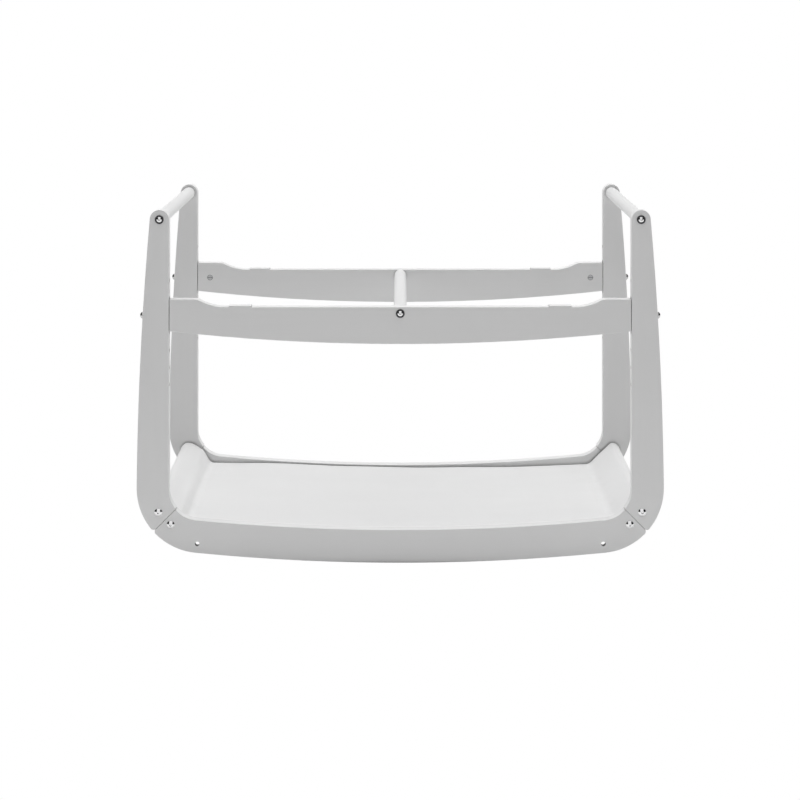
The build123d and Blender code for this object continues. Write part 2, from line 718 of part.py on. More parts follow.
# ---------------------------------------------------------------- slung fabric shelf
# one sheet with a sleeve at each end that slips over an end board
FABRIC_T = 1.6
FABRIC_GAP = 0.5  # between a sleeve and its board
SHELF_HALF_W = 221.0
SHELF_NECK = 57.5  # from BOARD_AT to where the slung panel leaves its sleeve
SHELF_SAG_Z = 57.0  # top of the panel at mid length
NECK_BACK = 12.0  # the neck starts this far short of the board's lower edge
NECK_TUCK = 0.6  # the neck's inner side ends this far short of its outer side

sleeve_out = FABRIC_GAP + FABRIC_T
sleeve_in_up = END_BOARD_T / 2 + FABRIC_GAP
sleeve_out_up = END_BOARD_T / 2 + sleeve_out
neck_start = END_BOARD_W - END_BOARD_UP - NECK_BACK
shelf_end = shift(BOARD_AT, across=SHELF_NECK, up=sleeve_out_up)
low_end = (shelf_end[0], shelf_end[1] - FABRIC_T)
# wedge that joins the left end of the panel to its sleeve
neck = [
    shift(BOARD_AT, across=neck_start, up=sleeve_out_up),
    shelf_end,
    low_end,
    shift(BOARD_AT, across=SHELF_NECK - NECK_TUCK, up=sleeve_in_up),
    shift(BOARD_AT, across=neck_start, up=sleeve_in_up),
]


def sleeve_outlines(gap, mode=Mode.ADD):
    """Draw both end board sections in the current sketch, grown by a gap all round."""
    for end in (-1, 1):
        with Locations(Location((end * -board_mid[0], board_mid[1]), end * 45)):
            RectangleRounded(
                END_BOARD_W + 2 * gap, END_BOARD_T + 2 * gap, END_BOARD_R + gap, mode=mode
            )


with BuildPart() as shelf:
    with BuildSketch(Plane.XZ.offset(-SHELF_HALF_W)):
        with BuildLine():
            ThreePointArc(shelf_end, (0, SHELF_SAG_Z), flip(shelf_end))
            Line(flip(shelf_end), flip(low_end))
            ThreePointArc(flip(low_end), (0, SHELF_SAG_Z - FABRIC_T), low_end)
            Line(low_end, shelf_end)
        make_face()
        sleeve_outlines(sleeve_out)
        for outline in (neck, [flip(point) for point in neck]):
            with BuildLine():
                Polyline(*outline, close=True)
            make_face()
        sleeve_outlines(FABRIC_GAP, mode=Mode.SUBTRACT)
    extrude(amount=2 * SHELF_HALF_W)
finish(shelf.part, "storage_shelf")

for part in finished:
    export_step(part, f"parts/{part.label}.step")
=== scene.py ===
import math

import bpy
import numpy as np
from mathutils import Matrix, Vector


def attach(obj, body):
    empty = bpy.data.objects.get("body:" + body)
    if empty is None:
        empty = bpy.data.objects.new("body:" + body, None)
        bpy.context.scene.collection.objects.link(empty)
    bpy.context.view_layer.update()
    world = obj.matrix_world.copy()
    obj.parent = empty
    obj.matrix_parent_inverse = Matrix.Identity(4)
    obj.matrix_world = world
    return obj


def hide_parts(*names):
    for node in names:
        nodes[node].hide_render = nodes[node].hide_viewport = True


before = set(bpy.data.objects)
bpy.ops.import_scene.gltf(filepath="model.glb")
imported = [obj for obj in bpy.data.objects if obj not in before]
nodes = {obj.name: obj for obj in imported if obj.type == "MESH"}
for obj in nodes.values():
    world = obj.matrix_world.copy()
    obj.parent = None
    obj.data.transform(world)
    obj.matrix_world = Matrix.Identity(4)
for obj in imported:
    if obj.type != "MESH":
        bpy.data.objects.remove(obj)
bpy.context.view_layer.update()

# ------------------------------------------------------------------ dimensions shared with the CAD, in metres
BOARD_AT = (-0.4593, 0.0969)
BOARD_UP, BOARD_W, BOARD_T = 0.011, 0.068, 0.022
S2 = math.sqrt(0.5)
HALF_W = 0.2208  # half the width of the shelf fabric
HEM = 0.011


# ------------------------------------------------------------------ node helpers
class Tree:
    """Small helper for building shader node trees."""

    def __init__(self, name):
        self.mat = bpy.data.materials.new(name)
        self.mat.use_nodes = True
        self.nt = self.mat.node_tree
        self.nt.nodes.clear()
        self.out = self.nt.nodes.new("ShaderNodeOutputMaterial")

    def node(self, kind, **values):
        n = self.nt.nodes.new(kind)
        for key, value in values.items():
            if hasattr(n, key) and key not in n.inputs:
                setattr(n, key, value)
            else:
                n.inputs[key].default_value = value
        return n

    def link(self, a, b):
        self.nt.links.new(a, b)

    def math(self, op, a, b=None, clamp=False):
        n = self.nt.nodes.new("ShaderNodeMath")
        n.operation = op
        n.use_clamp = clamp
        for i, v in enumerate((a, b)):
            if v is None:
                continue
            if isinstance(v, (int, float)):
                n.inputs[i].default_value = v
            else:
                self.link(v, n.inputs[i])
        return n.outputs[0]

    def mix(self, fac, a, b):
        n = self.nt.nodes.new("ShaderNodeMix")
        n.data_type = "RGBA"
        for sock, v in ((n.inputs[0], fac), (n.inputs[6], a), (n.inputs[7], b)):
            if isinstance(v, (int, float)):
                sock.default_value = v
            elif isinstance(v, tuple):
                sock.default_value = (*v, 1.0)
            else:
                self.link(v, sock)
        return n.outputs[2]

    def ramp(self, fac, stops):
        n = self.nt.nodes.new("ShaderNodeValToRGB")
        while len(n.color_ramp.elements) < len(stops):
            n.color_ramp.elements.new(0.5)
        for e, (p, c) in zip(n.color_ramp.elements, stops):
            e.position = p
            e.color = (c, c, c, 1) if isinstance(c, (int, float)) else (*c, 1)
        self.link(fac, n.inputs[0])
        return n.outputs[0]

    def noise(self, vector, scale, detail=3.0, rough=0.5):
        n = self.node("ShaderNodeTexNoise", Scale=scale, Detail=detail, Roughness=rough)
        self.link(vector, n.inputs["Vector"])
        return n.outputs["Fac"]

    def coords(self, scale=(1, 1, 1), rotation=(0, 0, 0)):
        tc = self.node("ShaderNodeTexCoord")
        mp = self.node("ShaderNodeMapping")
        mp.inputs["Scale"].default_value = scale
        mp.inputs["Rotation"].default_value = rotation
        self.link(tc.outputs["Object"], mp.inputs["Vector"])
        return mp.outputs["Vector"]

    def bump(self, height, strength, distance, normal=None):
        n = self.node("ShaderNodeBump", Strength=strength, Distance=distance)
        self.link(height, n.inputs["Height"])
        if normal is not None:
            self.link(normal, n.inputs["Normal"])
        return n.outputs["Normal"]


def crevice(t, reach, open_at=0.8, shut_at=0.3, samples=6):
    """1 deep in a gap or a socket, 0 on an open surface."""
    ao = t.node("ShaderNodeAmbientOcclusion", Distance=reach)
    ao.samples = samples
    return t.ramp(ao.outputs["AO"], [(shut_at, 1.0), (open_at, 0.0)])


def painted_wood(name, colour, grain_axis, rough=0.42, drift=0.012, gloss=0.35):
    """Satin paint rolled over sanded wood: a hint of grain, orange peel, slightly worn edges, painted shade in the
    joints, gaps and holes.
    """
    t = Tree(name)
    stretch = {"x": (1.5, 30, 30), "y": (30, 1.5, 30), "z": (30, 30, 1.5)}[grain_axis]
    grain = t.noise(t.coords(stretch), 3.0, 4, 0.55)
    peel = t.noise(t.coords(), 900, 2, 0.5)
    cloud = t.noise(t.coords(), 5.0, 2, 0.5)
    geo = t.node("ShaderNodeNewGeometry")
    edge = t.ramp(geo.outputs["Pointiness"], [(0.5, 0.0), (0.56, 1.0)])
    low = tuple(c * (1 - drift) for c in colour)
    high = tuple(min(1, c * (1 + drift)) for c in colour)
    base = t.mix(cloud, low, high)
    base = t.mix(t.math("MULTIPLY", t.ramp(grain, [(0.35, 1.0), (0.6, 0.0)]), 0.25), base, tuple(c * 0.965 for c in colour))
    base = t.mix(t.math("MULTIPLY", edge, 0.35), base, tuple(min(1, c * 1.06) for c in colour))
    # painted shade: occlusion within 10 mm darkens the joints, mitre lines, gaps and holes
    gap = crevice(t, 0.010, 0.72, 0.38)
    base = t.mix(t.math("MULTIPLY", gap, 0.80), base, tuple(c * 0.34 for c in colour))
    # painted shade: the inner faces darken a little further out, where the shelf and its sleeves lie against them
    tc = t.node("ShaderNodeTexCoord")
    sep = t.node("ShaderNodeSeparateXYZ")
    t.link(tc.outputs["Object"], sep.inputs[0])
    inner = t.math("MULTIPLY", t.math("SUBTRACT", 0.2262, t.math("ABSOLUTE", sep.outputs[1])), 1000.0, clamp=True)
    low = t.math("MULTIPLY", t.math("SUBTRACT", 0.25, sep.outputs[2]), 20.0, clamp=True)
    near = t.math("MULTIPLY", crevice(t, 0.007, 0.92, 0.45), t.math("MULTIPLY", t.math("MULTIPLY", inner, low), 0.65))
    base = t.mix(near, base, tuple(c * 0.40 for c in colour))
    # painted shade on the walls of the foot holes near the ends of the runners
    off = t.math("ABSOLUTE", t.math("SUBTRACT", t.math("ABSOLUTE", sep.outputs[0]), 0.385))
    hole = t.math("MULTIPLY", t.math("SUBTRACT", 0.0095, off), 1000.0, clamp=True)
    tall = t.math("MULTIPLY", t.math("SUBTRACT", 0.0095, t.math("ABSOLUTE", t.math("SUBTRACT", sep.outputs[2], 0.0361))), 1000.0, clamp=True)
    facing = t.node("ShaderNodeSeparateXYZ")
    t.link(geo.outputs["Normal"], facing.inputs[0])
    wall = t.math("MULTIPLY", t.math("SUBTRACT", 0.5, t.math("ABSOLUTE", facing.outputs[1])), 10.0, clamp=True)
    painted_hole_shade = t.math("MULTIPLY", wall, t.math("MULTIPLY", hole, tall))
    base = t.mix(t.math("MULTIPLY", painted_hole_shade, 0.85), base, tuple(c * 0.14 for c in colour))
    b = t.node("ShaderNodeBsdfPrincipled")
    b.inputs["Specular IOR Level"].default_value = gloss
    t.link(base, b.inputs["Base Color"])
    t.link(t.math("ADD", t.math("MULTIPLY", cloud, 0.1), rough - 0.05), b.inputs["Roughness"])
    n1 = t.bump(grain, 0.25, 0.0004)
    n2 = t.bump(peel, 0.06, 0.0002, n1)
    t.link(n2, b.inputs["Normal"])
    t.link(b.outputs[0], t.out.inputs[0])
    return t.mat


def raw_wood(name, grain_axis):
    t = Tree(name)
    stretch = {"x": (1.2, 22, 22), "y": (22, 1.2, 22), "z": (22, 22, 1.2)}[grain_axis]
    grain = t.noise(t.coords(stretch), 4.0, 5, 0.6)
    pores = t.noise(t.coords(tuple(6 * s for s in stretch)), 6.0, 2, 0.5)
    base = t.ramp(grain, [(0.3, (0.50, 0.34, 0.19)), (0.5, (0.66, 0.48, 0.30)), (0.7, (0.76, 0.60, 0.41))])
    base = t.mix(t.math("MULTIPLY", t.ramp(pores, [(0.36, 1.0), (0.46, 0.0)]), 0.4), base, (0.40, 0.26, 0.14))
    b = t.node("ShaderNodeBsdfPrincipled", Roughness=0.62)
    t.link(base, b.inputs["Base Color"])
    t.link(t.bump(t.math("ADD", grain, pores), 0.3, 0.0005), b.inputs["Normal"])
    t.link(b.outputs[0], t.out.inputs[0])
    return t.mat


def steel(name, colour, rough, wear=0.1, painted_dark_reflection=False, reach=0.0022, shut=0.35, deep=0.06):
    """Plated steel with fine turning marks and faint smudges, and painted shade down in its socket or slot.
    With the dark reflection on, whatever it mirrors behind the stand and above the floor is painted dark: a painted
    reflection of a dark flag."""
    t = Tree(name)
    smudge = t.noise(t.coords(), 180, 3, 0.6)
    lines = t.noise(t.coords((1, 1, 1)), 2600, 1, 0.5)
    b = t.node("ShaderNodeBsdfPrincipled", Metallic=1.0)
    base = t.mix(smudge, tuple(c * 0.94 for c in colour), colour)
    # painted shade in sockets and slots, from short-range occlusion
    base = t.mix(crevice(t, reach, shut + 0.35, shut), base, tuple(c * deep for c in colour))
    if painted_dark_reflection:
        # painted reflection: directions mirrored back and to the side, above the floor, turn near-black and
        # non-metallic
        tc = t.node("ShaderNodeTexCoord")
        sep = t.node("ShaderNodeSeparateXYZ")
        t.link(tc.outputs["Reflection"], sep.inputs[0])
        wide = t.math("MULTIPLY", t.math("SUBTRACT", t.math("ABSOLUTE", sep.outputs[0]), 0.20), 10.0, clamp=True)
        high = t.math("MULTIPLY", t.math("ADD", sep.outputs[2], 0.16), 16.0, clamp=True)
        back = t.math("MULTIPLY", t.math("SUBTRACT", sep.outputs[1], 0.05), 8.0, clamp=True)
        painted_reflection_mask = t.math("MULTIPLY", wide, t.math("MULTIPLY", high, back))
        base = t.mix(painted_reflection_mask, base, (0.02, 0.02, 0.021))
        b.inputs["Specular Tint"].default_value = (1, 1, 1, 1)
        t.link(t.math("SUBTRACT", 1.0, painted_reflection_mask), b.inputs["Metallic"])
        t.link(t.math("MULTIPLY", t.math("SUBTRACT", 1.0, painted_reflection_mask), 0.5), b.inputs["Specular IOR Level"])
    t.link(base, b.inputs["Base Color"])
    t.link(t.math("ADD", t.math("MULTIPLY", smudge, wear), rough), b.inputs["Roughness"])
    t.link(t.bump(lines, 0.03, 0.0001), b.inputs["Normal"])
    t.link(b.outputs[0], t.out.inputs[0])
    return t.mat


def cloth(name, colour, half_width):
    """Plain-weave shelf fabric read in the sheet's own UV, in metres: u along the sheet, v across it.
    The hems are two layers thick, so less light goes through them and they look a little lighter."""
    t = Tree(name)
    tc = t.node("ShaderNodeTexCoord")
    sep = t.node("ShaderNodeSeparateXYZ")
    t.link(tc.outputs["UV"], sep.inputs[0])
    u, v = sep.outputs[0], sep.outputs[1]
    pitch = 0.0009
    warp_ = t.node("ShaderNodeTexNoise", Scale=140.0, Detail=2.0)
    t.link(tc.outputs["UV"], warp_.inputs["Vector"])
    wander = t.math("MULTIPLY", warp_.outputs["Fac"], 0.0006)
    wu = t.math("SINE", t.math("MULTIPLY", t.math("ADD", u, wander), 2 * math.pi / pitch))
    wv = t.math("SINE", t.math("MULTIPLY", t.math("ADD", v, wander), 2 * math.pi / pitch))
    # over-and-under: each yarn rises where the other dips
    over = t.math("MULTIPLY", wu, wv)
    yarns = t.math("MAXIMUM", t.math("ABSOLUTE", wu), t.math("ABSOLUTE", wv))
    weave = t.math("ADD", t.math("MULTIPLY", over, 0.5), t.math("MULTIPLY", yarns, 0.5))
    slub = t.node("ShaderNodeTexNoise", Scale=1.0, Detail=3.0)
    mp = t.node("ShaderNodeMapping")
    mp.inputs["Scale"].default_value = (45, 1100, 1)
    t.link(tc.outputs["UV"], mp.inputs["Vector"])
    t.link(mp.outputs[0], slub.inputs["Vector"])
    slub2 = t.node("ShaderNodeTexNoise", Scale=1.0, Detail=3.0)
    mp2 = t.node("ShaderNodeMapping")
    mp2.inputs["Scale"].default_value = (1100, 45, 1)
    t.link(tc.outputs["UV"], mp2.inputs["Vector"])
    t.link(mp2.outputs[0], slub2.inputs["Vector"])
    cloud = t.noise(t.coords((1.0, 2.2, 1.0)), 7, 3, 0.5)
    edge = t.math("SUBTRACT", half_width, t.math("ABSOLUTE", v))
    hem = t.math("SUBTRACT", 1.0, t.math("MULTIPLY", t.math("SUBTRACT", edge, HEM - 0.0012), 1 / 0.0012, clamp=True), clamp=True)
    base = t.mix(cloud, tuple(c * 0.985 for c in colour), tuple(min(1, c * 1.012) for c in colour))
    shade = t.math("ADD", t.math("MULTIPLY", over, 0.5), 0.5)
    base = t.mix(t.math("MULTIPLY", shade, 0.09), base, tuple(c * 0.82 for c in colour))
    base = t.mix(t.math("MULTIPLY", t.ramp(slub.outputs["Fac"], [(0.55, 0.0), (0.75, 1.0)]), 0.10), base, tuple(c * 0.9 for c in colour))
    base = t.mix(t.math("MULTIPLY", hem, 0.25), base, (0.97, 0.97, 0.97))
    b = t.node("ShaderNodeBsdfPrincipled", Roughness=0.88)
    b.inputs["Sheen Weight"].default_value = 0.12
    b.inputs["Sheen Roughness"].default_value = 0.5
    b.inputs["Specular IOR Level"].default_value = 0.15
    t.link(base, b.inputs["Base Color"])
    height = t.math("ADD", weave, t.math("MULTIPLY", t.math("ADD", slub.outputs["Fac"], slub2.outputs["Fac"]), 0.5))
    t.link(t.bump(height, 0.35, 0.00025), b.inputs["Normal"])
    t.link(b.outputs[0], t.out.inputs[0])
    return t.mat


def thread(name, colour):
    """Twisted polyester sewing thread."""
    t = Tree(name)
    twist = t.noise(t.coords((900, 900, 900)), 1.0, 2, 0.5)
    b = t.node("ShaderNodeBsdfPrincipled", Roughness=0.55)
    b.inputs["Sheen Weight"].default_value = 0.2
    t.link(t.mix(twist, tuple(c * 0.9 for c in colour), colour), b.inputs["Base Color"])
    t.link(t.bump(twist, 0.4, 0.0001), b.inputs["Normal"])
    t.link(b.outputs[0], t.out.inputs[0])
    return t.mat


PAINT = (0.775, 0.775, 0.775)
WHITE = (0.84, 0.84, 0.84)
paint_x = painted_wood("painted_board_x", PAINT, "x")
paint_z = painted_wood("painted_board_z", PAINT, "z")
white_y = painted_wood("white_bar", WHITE, "y", rough=0.55, drift=0.006, gloss=0.08)
paint_y = painted_wood("painted_board_y", PAINT, "y")
wood_d = raw_wood("raw_wood_pins", "x")
chrome = steel("bright_chrome", (0.85, 0.85, 0.855), 0.06, 0.05)
rail_head = steel("bright_rail_head", (0.64, 0.64, 0.64), 0.12, 0.1, painted_dark_reflection=True)
nut_steel = steel("dull_nut_steel", (0.52, 0.52, 0.53), 0.26, 0.12, reach=0.0030, shut=0.45, deep=0.30)
zinc = steel("plated_steel", (0.66, 0.66, 0.67), 0.3, 0.15)
blacked = steel("blackened_steel", (0.075, 0.075, 0.08), 0.34, 0.15)
fabric = cloth("shelf_cloth", (0.92, 0.92, 0.92), HALF_W)
sewing = thread("shelf_thread", (0.90, 0.90, 0.90))


def give(mat, *names):
    for n in names:
        o = nodes[n]
        o.data.materials.clear()
        o.data.materials.append(mat)


give(paint_z, "front_left_leg", "front_right_leg", "back_left_leg", "back_right_leg")
give(paint_x, "front_runner", "back_runner", "front_rail", "back_rail")
give(white_y, "left_crossbar", "right_crossbar", "centre_bar")
give(paint_y, "left_end_board", "right_end_board")
give(wood_d, "mitre_pins")
give(zinc, "crossbar_inserts", "centre_bar_inserts", "corner_nuts")
give(nut_steel, "rail_nuts")
give(chrome, "crossbar_bolts", "centre_bar_bolts", "leg_corner_bolts", "runner_corner_bolts")
give(
    rail_head,
    "front_left_rail_bolt", "front_right_rail_bolt", "back_left_rail_bolt", "back_right_rail_bolt",
    "front_left_rail_washer", "front_right_rail_washer", "back_left_rail_washer", "back_right_rail_washer",
)
give(blacked, "crossbar_washers", "centre_bar_washers")

# ------------------------------------------------------------------ shelf fabric
# one sheet: its ends go round the end boards and are sewn back under the panel
rng = np.random.default_rng(7)


def smooth(x):
    x = np.clip(x, 0, 1)
    return x * x * (3 - 2 * x)


def curve(x, xs, ys):
    """Smooth curve through points: monotone cubic in pieces."""
    xs, ys = np.asarray(xs, float), np.asarray(ys, float)
    x = np.clip(x, xs[0], xs[-1])
    m = np.gradient(ys, xs)
    k = np.clip(np.searchsorted(xs, x) - 1, 0, len(xs) - 2)
    h = xs[k + 1] - xs[k]
    t = (x - xs[k]) / h
    return (
        (2 * t**3 - 3 * t**2 + 1) * ys[k] + (t**3 - 2 * t**2 + t) * h * m[k]
        + (3 * t**2 - 2 * t**3) * ys[k + 1] + (t**3 - t**2) * h * m[k + 1]
    )


MID = 0.0014  # middle of the cloth off the board
CLOTH = 0.0012
SAG, END_Z, END_X = 0.0570 - CLOTH / 2, 0.0655 - CLOTH / 2, 0.4094


def panel_z(x):
    return SAG + (END_Z - SAG) * (x / END_X) ** 2


def lift(x, y):
    """The back left of the panel rides up where its sleeve has slipped."""
    back = smooth((y + 0.10) / 0.30)
    up = curve(
        x,
        [-0.409, -0.346, -0.292, -0.238, -0.184, -0.130, -0.076, -0.022, 0.032, 0.130, 0.248, 0.320, 0.409],
        [0.0032, 0.0044, 0.0061, 0.0063, 0.0048, 0.0034, 0.0028, 0.0016, 0.0003, -0.0002, -0.0014, -0.0006, 0.0],
    )
    return back * up


def ripple(x, y):
    """Slack left in the cloth: long shallow rolls, and small gathers by the sleeve seams."""
    r = 0.00045 * np.sin(2 * math.pi * (y / 0.118 + 0.9 * x) + 0.6) * (0.55 + 0.45 * np.cos(5.1 * x + 1.0))
    r += 0.00030 * np.sin(2 * math.pi * (y / 0.071 - 1.7 * x) + 2.1) * smooth((x + 0.35) / 0.5)
    r += 0.00022 * np.sin(2 * math.pi * (y / 0.043 + 2.6 * x) + 4.0) * np.exp(-((x - 0.12) / 0.14) ** 2)
    left, right = np.exp(-(x + 0.405) / 0.035), np.exp(-(0.405 - x) / 0.028)
    r += 0.00055 * np.sin(2 * math.pi * y / 0.031 + 1.2 * np.sin(21 * y)) * left
    r += 0.00035 * np.sin(2 * math.pi * y / 0.027 + 1.1 * np.sin(17 * y + 1)) * right
    return r


def puff(a, y, side):
    """How far the cloth stands off the upper face of an end board."""
    if side < 0:
        full = curve(
            a,
            [-0.010, -0.006, 0.000, 0.008, 0.0168, 0.0244, 0.032, 0.0416, 0.0548, 0.060],
            [0.0, 0.0010, 0.0036, 0.0062, 0.0080, 0.0091, 0.0079, 0.0049, 0.0026, 0.0020],
        )
        fold = 0.0034 * np.exp(-((a - 0.036) / 0.011) ** 2)
        back = smooth((y + 0.02) / 0.22)
        out = full * (0.16 + 0.84 * back) + fold * (1 - back)
        out += 0.0005 * np.sin(2 * math.pi * y / 0.052 + 0.8) * np.exp(-((a - 0.042) / 0.014) ** 2)
    else:
        out = 0.0006 * np.exp(-((a - 0.030) / 0.020) ** 2) * (1 + 0.6 * np.sin(2 * math.pi * y / 0.16))
        out += 0.0004 * np.sin(2 * math.pi * y / 0.045 + 2.0) * np.exp(-((a - 0.050) / 0.008) ** 2)
    return out


def slack(a, y, side):
    """Drag lines on the lower, outer face of a sleeve, pulled slantwise towards its seam."""
    w = 1.0 if side < 0 else 0.75
    p = y + 0.55 * side * (a - 0.02)
    out = 0.00050 * np.sin(2 * math.pi * p / 0.083 + 0.7 * side) * (0.6 + 0.4 * np.sin(2 * math.pi * y / 0.21 + 1.0))
    out += 0.00034 * np.sin(2 * math.pi * (y - 0.8 * side * a) / 0.047 + 2.0)
    out += 0.00018 * np.sin(2 * math.pi * (y + 0.3 * a) / 0.023 + 4.0 * side)
    gather = np.exp(-((HALF_W - abs(y)) / 0.030))
    out += 0.00045 * gather * np.sin(2 * math.pi * (a + 0.1 * y) / 0.019)
    return w * out


def strip(y):
    """One line of the sheet at y, from the left seam over to the right seam: points in x, z, and the seam indices."""
    out = []
    marks = []
    for side in (-1, 1):
        def xz(a, u):
            return (BOARD_AT[0] + (a + u) * S2, BOARD_AT[1] + (u - a) * S2)
        lo, hi = -BOARD_UP - MID, BOARD_W - BOARD_UP + MID
        half, r = BOARD_T / 2 + MID, 0.009 + MID
        pts = []
        # under the panel, then down round the lower edge of the board
        def zp(x):
            return float(panel_z(x) + lift(side * -x, y) + ripple(np.array(side * -x), y))
        for x in (-0.3900, -0.3940, -0.3980, -0.4020):
            pts.append((x, zp(x) - 0.00135))
        knots = [(-0.4020, zp(-0.4020) - 0.00135), (-0.4062, zp(-0.406) - 0.0022), (-0.4102, zp(-0.410) - 0.0052), xz(hi, 0.0035)]
        for k in range(1, 9):
            t = k / 9
            (x0, z0), (x1, z1), (x2, z2), (x3, z3) = knots
            c = ((1 - t) ** 3, 3 * t * (1 - t) ** 2, 3 * t * t * (1 - t), t**3)
            pts.append((c[0] * x0 + c[1] * x1 + c[2] * x2 + c[3] * x3, c[0] * z0 + c[1] * z1 + c[2] * z2 + c[3] * z3))
        pts.append(xz(hi, 0.0035))
        pts.append(xz(hi, 0.0))
        for ca, cu, first in ((hi - r, -half + r, 0), (lo + r, -half + r, -90), (lo + r, half - r, -180)):
            for k in range(9):
                ang = math.radians(first - 90 * k / 8)
                a, u = ca + r * math.cos(ang), cu + r * math.sin(ang)
                if u > 0 and a < 0.05:
                    u += float(puff(np.array(a), y, side))
                pts.append(xz(a, u))
            if first == 0:
                for k in range(1, 20):
                    a = hi - r - (hi - lo - 2 * r) * k / 20
                    bulge = math.sin(math.pi * k / 20)
                    pts.append(xz(a, -half - bulge * (0.0008 + float(slack(a, y, side)))))
        for k in range(1, 27):
            a = lo + r + (0.0490 - lo - r) * k / 26
            pts.append(xz(a, half + float(puff(np.array(a), y, side))))
        # the bend into the panel
        p0 = pts[-1]
        e = 0.0490
        slope = float(puff(np.array(e), y, side) - puff(np.array(e - 0.002), y, side)) / 0.002
        p2 = (-0.4000, zp(-0.4000))
        d0 = ((1 + slope) * S2, (slope - 1) * S2)
        m = (zp(-0.3960) - zp(-0.4000)) / 0.004
        # where the two tangents meet
        t = (p2[1] - p0[1] - m * (p2[0] - p0[0])) / (d0[1] - m * d0[0])
        p1 = (p0[0] + t * d0[0], p0[1] + t * d0[1])
        for k in range(1, 15):
            t = k / 14
            w = (1 - t) ** 2, 2 * t * (1 - t), t * t
            pts.append((w[0] * p0[0] + w[1] * p1[0] + w[2] * p2[0], w[0] * p0[1] + w[1] * p1[1] + w[2] * p2[1]))
        if side > 0:
            pts = [(-x, z) for x, z in reversed(pts)]
            marks.append(len(out))
        else:
            marks.append(len(pts))
        if side < 0:
            out += pts
            for k in range(1, 121):
                x = -0.4000 + 0.8000 * k / 121
                out.append((x, float(panel_z(x) + lift(np.array(x), y) + ripple(np.array(x), y))))
        else:
            out += pts
    return out, marks


def rows():
    """Distances from the middle to each row of the half sheet, close together at the hem and the free edge."""
    edge = [0.0, 0.0001, 0.0004, 0.0008, 0.0014, 0.0030, 0.0055, 0.0080, HEM - 0.0009, HEM - 0.0004, HEM, HEM + 0.0006, HEM + 0.0016, 0.0160]
    inner = list(np.linspace(0.0, HALF_W - 0.0205, 40))
    half = inner + [HALF_W - e for e in reversed(edge)]
    return sorted([-v for v in half if v > 0] + half)


def sheet_thickness(y):
    """Half thickness of the cloth: doubled at the hems, rounded off at the free edges."""
    e = HALF_W - np.abs(y)
    t = CLOTH / 2 + 0.00055 * smooth((HEM + 0.0006 - e) / 0.0010)
    bead = 0.0014
    return t * np.sqrt(np.clip(1 - np.clip(1 - e / bead, 0, 1) ** 2, 0.004, 1))


ys = rows()
lines = [strip(y) for y in ys]
seam_l, seam_r = lines[0][1]
grid = np.array([[(x, y, z) for x, z in line] for y, (line, _) in zip(ys, lines)])  # row, column, xyz
du = np.gradient(grid, axis=1)
dv = np.gradient(grid, np.array(ys), axis=0)
nrm = np.cross(du, dv)
nrm /= np.linalg.norm(nrm, axis=2, keepdims=True)
if nrm[len(ys) // 2, grid.shape[1] // 2, 2] < 0:
    nrm = -nrm
half_t = sheet_thickness(np.array(ys))[:, None, None]
length = np.concatenate([[0], np.cumsum(np.linalg.norm(np.diff(grid[len(ys) // 2], axis=0), axis=1))])


def make_mesh(name, verts, faces, mat, uvs=None):
    mesh = bpy.data.meshes.new(name)
    mesh.from_pydata([tuple(map(float, v)) for v in verts], [], faces)
    mesh.validate()
    if uvs is not None:
        layer = mesh.uv_layers.new(name="UVMap")
        for loop in mesh.loops:
            layer.data[loop.index].uv = uvs[loop.vertex_index]
    mesh.materials.append(mat)
    obj = bpy.data.objects.new(name, mesh)
    bpy.context.scene.collection.objects.link(obj)
    for poly in mesh.polygons:
        poly.use_smooth = True
    return obj


R, C = grid.shape[:2]
top_v = (grid + nrm * half_t).reshape(-1, 3)
low_v = (grid - nrm * half_t).reshape(-1, 3)
n = R * C
quads = []
for j in range(R - 1):
    for i in range(C - 1):
        a, b, c, d = j * C + i, j * C + i + 1, (j + 1) * C + i + 1, (j + 1) * C + i
        quads.append((a, b, c, d))
        quads.append((n + d, n + c, n + b, n + a))
for i in range(C - 1):
    quads.append((i + 1, i, n + i, n + i + 1))
    k = (R - 1) * C
    quads.append((k + i, k + i + 1, n + k + i + 1, n + k + i))
for j in range(R - 1):
    quads.append((j * C, (j + 1) * C, n + (j + 1) * C, n + j * C))
    k = C - 1
    quads.append(((j + 1) * C + k, j * C + k, n + j * C + k, n + (j + 1) * C + k))
uv = [(float(length[i]), float(ys[j])) for j in range(R) for i in range(C)]
shelf = make_mesh("shelf_fabric", np.concatenate([top_v, low_v]), quads, fabric, uv + uv)
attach(shelf, "stand")
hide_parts("storage_shelf")


# ------------------------------------------------------------------ stitching
def stitch(p, q, normal, radius, verts, faces):
    """One lock stitch: a short thread that dives into the cloth at both ends."""
    p, q, normal = map(np.asarray, (p, q, normal))
    d = q - p
    size = np.linalg.norm(d)
    if size < 1e-6:
        return
    d = d / size
    w = np.cross(d, normal)
    rings, sides = 5, 6
    start = len(verts)
    for k in range(rings):
        t = k / (rings - 1)
        bow = math.sin(math.pi * t)
        centre = p + d * size * t + normal * (radius * (1.2 * bow - 0.75))
        rad = radius * (0.55 + 0.45 * bow)
        for s in range(sides):
            ang = 2 * math.pi * s / sides
            verts.append(centre + rad * (math.cos(ang) * w + math.sin(ang) * normal))
    for k in range(rings - 1):
        for s in range(sides):
            a, b = start + k * sides + s, start + k * sides + (s + 1) % sides
            faces.append((a, b, b + sides, a + sides))
    faces.append(tuple(start + s for s in reversed(range(sides))))
    faces.append(tuple(start + (rings - 1) * sides + s for s in range(sides)))


